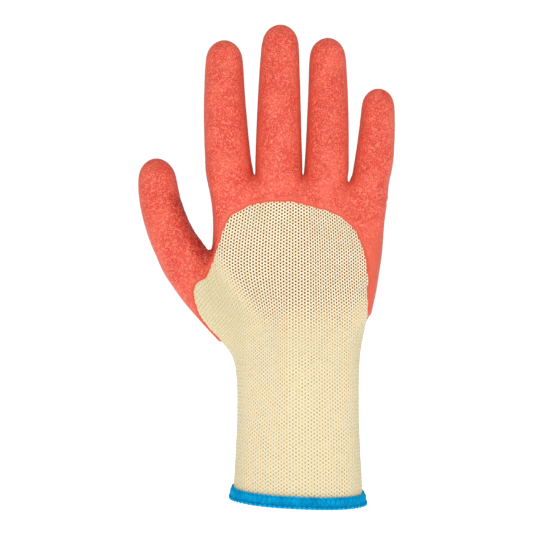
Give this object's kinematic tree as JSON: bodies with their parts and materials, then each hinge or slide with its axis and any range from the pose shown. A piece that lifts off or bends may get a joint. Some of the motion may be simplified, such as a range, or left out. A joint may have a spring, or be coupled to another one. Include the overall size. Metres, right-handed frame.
{
  "type": "latex coated grip glove",
  "caption": "Right-hand work glove: a seamless knitted liner with a crinkle latex dip over palm, fingers and knuckles, bare knit on the back, a long knit wrist and an overlocked hem.",
  "frame": {"origin": "middle of the wrist opening, in the plane of the hem's edge", "axes": "+Z from the cuff to the fingertips, -Y out of the back of the hand, +X to the little-finger side"},
  "size_m": [0.1436, 0.0544, 0.2644],
  "materials": {
    "knit": "cream polycotton yarn, plain knit, matt",
    "latex": "coral natural latex, crinkle finish, satin",
    "hem_thread": "blue overlock thread, matt"
  },
  "bodies": {
    "root": {"knit_cuff": "knit", "knit_hand": "knit", "knit_thumb": "knit", "knit_index": "knit", "knit_middle": "knit", "knit_ring": "knit", "knit_little": "knit", "latex_coating": "latex", "overlock_hem": "hem_thread"}
  },
  "joints": []
}
